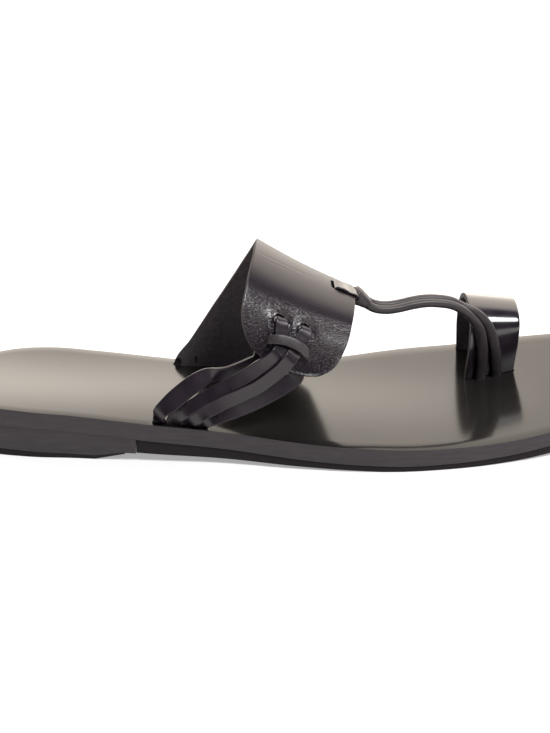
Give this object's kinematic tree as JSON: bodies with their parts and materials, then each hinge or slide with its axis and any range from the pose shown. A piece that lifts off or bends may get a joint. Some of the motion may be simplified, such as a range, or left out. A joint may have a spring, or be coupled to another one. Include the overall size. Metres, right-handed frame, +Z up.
{
  "type": "flat leather sandal",
  "caption": "Flat leather sandal for a right foot: open instep band laced down at the outer side, corded to a toe ring, on a shaped leather footbed with a rubber sole and a low heel.",
  "frame": {"origin": "on the floor, under the middle of the sandal's plan box", "axes": "+X to the toe, +Y to the inner (big toe) side, +Z up"},
  "size_m": [0.2848, 0.107, 0.0769],
  "materials": {
    "footbed_leather": "polished, glossy",
    "strap_leather": "satin, fine grain",
    "heel_edge_leather": "waxed cut edge",
    "sole_rubber": "matt"
  },
  "bodies": {
    "root": {"footbed": "footbed_leather", "outsole": "sole_rubber", "heel": "heel_edge_leather", "heel_lift": "sole_rubber", "instep_band": "strap_leather", "side_laces": "strap_leather", "toe_thong": "strap_leather", "toe_ring": "strap_leather"}
  },
  "joints": []
}
